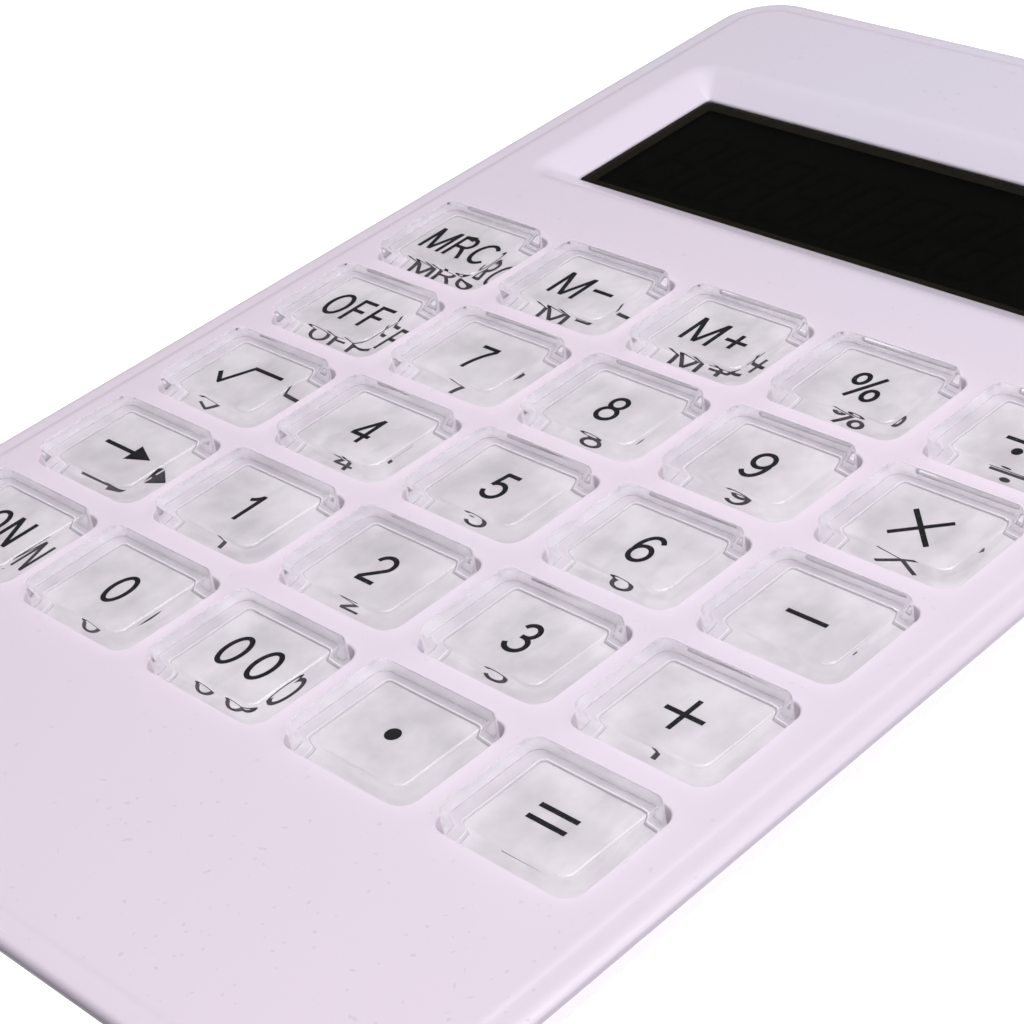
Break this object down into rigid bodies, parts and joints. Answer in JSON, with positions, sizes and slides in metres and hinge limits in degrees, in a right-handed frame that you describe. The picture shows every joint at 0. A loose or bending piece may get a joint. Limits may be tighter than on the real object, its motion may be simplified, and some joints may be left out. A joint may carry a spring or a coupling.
{
  "type": "pocket calculator",
  "caption": "Slim rectangular pocket calculator with a sunken display window, a grid of clear push keys, a tapered back and a coin-turned battery cap.",
  "frame": {"origin": "on the surface that the calculator lies on, under the middle of its case", "axes": "+X to the right of the keys, +Y from the keys towards the display, +Z out of the key face"},
  "size_m": [0.072, 0.1146, 0.0101],
  "materials": {
    "case_white": "glossy moulded white plastic with a faint lavender cast",
    "key_clear": "clear polished acrylic",
    "window_clear": "clear acrylic over a dark display",
    "lcd_black": "dark liquid-crystal glass, switched off",
    "holder_black": "matt black plastic",
    "zebra_rubber": "layered conductive rubber",
    "board_green": "green solder mask on laminate",
    "mat_silicone": "translucent grey silicone rubber",
    "chip_black": "black epoxy",
    "capacitor_brown": "fired ceramic",
    "cell_steel": "nickel-plated steel can",
    "contact_nickel": "nickel-plated spring strip",
    "screw_steel": "zinc-plated steel",
    "foot_rubber": "soft black rubber"
  },
  "bodies": {
    "case": {"top_cover": "case_white", "back_cover": "case_white", "display_window": "window_clear", "lcd_panel": "lcd_black", "lcd_holder": "holder_black", "zebra_strip": "zebra_rubber", "circuit_board": "board_green", "keypad_mat": "mat_silicone", "controller_chip": "chip_black", "capacitor": "capacitor_brown", "button_cell": "cell_steel", "contact_negative": "contact_nickel", "contact_positive": "contact_nickel", "foot_front_left": "foot_rubber", "foot_front_right": "foot_rubber", "foot_back_left": "foot_rubber", "foot_back_right": "foot_rubber", "case_screw_front_left": "screw_steel", "case_screw_front_right": "screw_steel", "case_screw_back_left": "screw_steel", "case_screw_back_right": "screw_steel", "board_screw_front_left": "screw_steel", "board_screw_front_right": "screw_steel", "board_screw_back_left": "screw_steel", "board_screw_back_right": "screw_steel"},
    "battery_cap": {"battery_cap": "case_white"},
    "key_mrc": {"key_mrc": "key_clear"},
    "key_m_minus": {"key_m_minus": "key_clear"},
    "key_m_plus": {"key_m_plus": "key_clear"},
    "key_percent": {"key_percent": "key_clear"},
    "key_divide": {"key_divide": "key_clear"},
    "key_off": {"key_off": "key_clear"},
    "key_7": {"key_7": "key_clear"},
    "key_8": {"key_8": "key_clear"},
    "key_9": {"key_9": "key_clear"},
    "key_multiply": {"key_multiply": "key_clear"},
    "key_square_root": {"key_square_root": "key_clear"},
    "key_4": {"key_4": "key_clear"},
    "key_5": {"key_5": "key_clear"},
    "key_6": {"key_6": "key_clear"},
    "key_minus": {"key_minus": "key_clear"},
    "key_arrow": {"key_arrow": "key_clear"},
    "key_1": {"key_1": "key_clear"},
    "key_2": {"key_2": "key_clear"},
    "key_3": {"key_3": "key_clear"},
    "key_plus": {"key_plus": "key_clear"},
    "key_on": {"key_on": "key_clear"},
    "key_0": {"key_0": "key_clear"},
    "key_00": {"key_00": "key_clear"},
    "key_decimal": {"key_decimal": "key_clear"},
    "key_equals": {"key_equals": "key_clear"}
  },
  "joints": [
    {"name": "key_mrc_press", "type": "slide", "parent": "case", "child": "key_mrc", "axis": [0, 0, -1], "range_m": [0, 0.0008], "stiffness_N_per_m": 600, "deforming": ["keypad_mat"]},
    {"name": "key_m_minus_press", "type": "slide", "parent": "case", "child": "key_m_minus", "axis": [0, 0, -1], "range_m": [0, 0.0008], "stiffness_N_per_m": 600, "deforming": ["keypad_mat"]},
    {"name": "key_m_plus_press", "type": "slide", "parent": "case", "child": "key_m_plus", "axis": [0, 0, -1], "range_m": [0, 0.0008], "stiffness_N_per_m": 600, "deforming": ["keypad_mat"]},
    {"name": "key_percent_press", "type": "slide", "parent": "case", "child": "key_percent", "axis": [0, 0, -1], "range_m": [0, 0.0008], "stiffness_N_per_m": 600, "deforming": ["keypad_mat"]},
    {"name": "key_divide_press", "type": "slide", "parent": "case", "child": "key_divide", "axis": [0, 0, -1], "range_m": [0, 0.0008], "stiffness_N_per_m": 600, "deforming": ["keypad_mat"]},
    {"name": "key_off_press", "type": "slide", "parent": "case", "child": "key_off", "axis": [0, 0, -1], "range_m": [0, 0.0008], "stiffness_N_per_m": 600, "deforming": ["keypad_mat"]},
    {"name": "key_7_press", "type": "slide", "parent": "case", "child": "key_7", "axis": [0, 0, -1], "range_m": [0, 0.0008], "stiffness_N_per_m": 600, "deforming": ["keypad_mat"]},
    {"name": "key_8_press", "type": "slide", "parent": "case", "child": "key_8", "axis": [0, 0, -1], "range_m": [0, 0.0008], "stiffness_N_per_m": 600, "deforming": ["keypad_mat"]},
    {"name": "key_9_press", "type": "slide", "parent": "case", "child": "key_9", "axis": [0, 0, -1], "range_m": [0, 0.0008], "stiffness_N_per_m": 600, "deforming": ["keypad_mat"]},
    {"name": "key_multiply_press", "type": "slide", "parent": "case", "child": "key_multiply", "axis": [0, 0, -1], "range_m": [0, 0.0008], "stiffness_N_per_m": 600, "deforming": ["keypad_mat"]},
    {"name": "key_square_root_press", "type": "slide", "parent": "case", "child": "key_square_root", "axis": [0, 0, -1], "range_m": [0, 0.0008], "stiffness_N_per_m": 600, "deforming": ["keypad_mat"]},
    {"name": "key_4_press", "type": "slide", "parent": "case", "child": "key_4", "axis": [0, 0, -1], "range_m": [0, 0.0008], "stiffness_N_per_m": 600, "deforming": ["keypad_mat"]},
    {"name": "key_5_press", "type": "slide", "parent": "case", "child": "key_5", "axis": [0, 0, -1], "range_m": [0, 0.0008], "stiffness_N_per_m": 600, "deforming": ["keypad_mat"]},
    {"name": "key_6_press", "type": "slide", "parent": "case", "child": "key_6", "axis": [0, 0, -1], "range_m": [0, 0.0008], "stiffness_N_per_m": 600, "deforming": ["keypad_mat"]},
    {"name": "key_minus_press", "type": "slide", "parent": "case", "child": "key_minus", "axis": [0, 0, -1], "range_m": [0, 0.0008], "stiffness_N_per_m": 600, "deforming": ["keypad_mat"]},
    {"name": "key_arrow_press", "type": "slide", "parent": "case", "child": "key_arrow", "axis": [0, 0, -1], "range_m": [0, 0.0008], "stiffness_N_per_m": 600, "deforming": ["keypad_mat"]},
    {"name": "key_1_press", "type": "slide", "parent": "case", "child": "key_1", "axis": [0, 0, -1], "range_m": [0, 0.0008], "stiffness_N_per_m": 600, "deforming": ["keypad_mat"]},
    {"name": "key_2_press", "type": "slide", "parent": "case", "child": "key_2", "axis": [0, 0, -1], "range_m": [0, 0.0008], "stiffness_N_per_m": 600, "deforming": ["keypad_mat"]},
    {"name": "key_3_press", "type": "slide", "parent": "case", "child": "key_3", "axis": [0, 0, -1], "range_m": [0, 0.0008], "stiffness_N_per_m": 600, "deforming": ["keypad_mat"]},
    {"name": "key_plus_press", "type": "slide", "parent": "case", "child": "key_plus", "axis": [0, 0, -1], "range_m": [0, 0.0008], "stiffness_N_per_m": 600, "deforming": ["keypad_mat"]},
    {"name": "key_on_press", "type": "slide", "parent": "case", "child": "key_on", "axis": [0, 0, -1], "range_m": [0, 0.0008], "stiffness_N_per_m": 600, "deforming": ["keypad_mat"]},
    {"name": "key_0_press", "type": "slide", "parent": "case", "child": "key_0", "axis": [0, 0, -1], "range_m": [0, 0.0008], "stiffness_N_per_m": 600, "deforming": ["keypad_mat"]},
    {"name": "key_00_press", "type": "slide", "parent": "case", "child": "key_00", "axis": [0, 0, -1], "range_m": [0, 0.0008], "stiffness_N_per_m": 600, "deforming": ["keypad_mat"]},
    {"name": "key_decimal_press", "type": "slide", "parent": "case", "child": "key_decimal", "axis": [0, 0, -1], "range_m": [0, 0.0008], "stiffness_N_per_m": 600, "deforming": ["keypad_mat"]},
    {"name": "key_equals_press", "type": "slide", "parent": "case", "child": "key_equals", "axis": [0, 0, -1], "range_m": [0, 0.0008], "stiffness_N_per_m": 600, "deforming": ["keypad_mat"]},
    {"name": "battery_cap_turn", "type": "hinge", "parent": "case", "child": "battery_cap", "pos_m": [0, -0.0423, 0.0005], "axis": [0, 0, -1], "range_deg": [0, 45]}
  ]
}
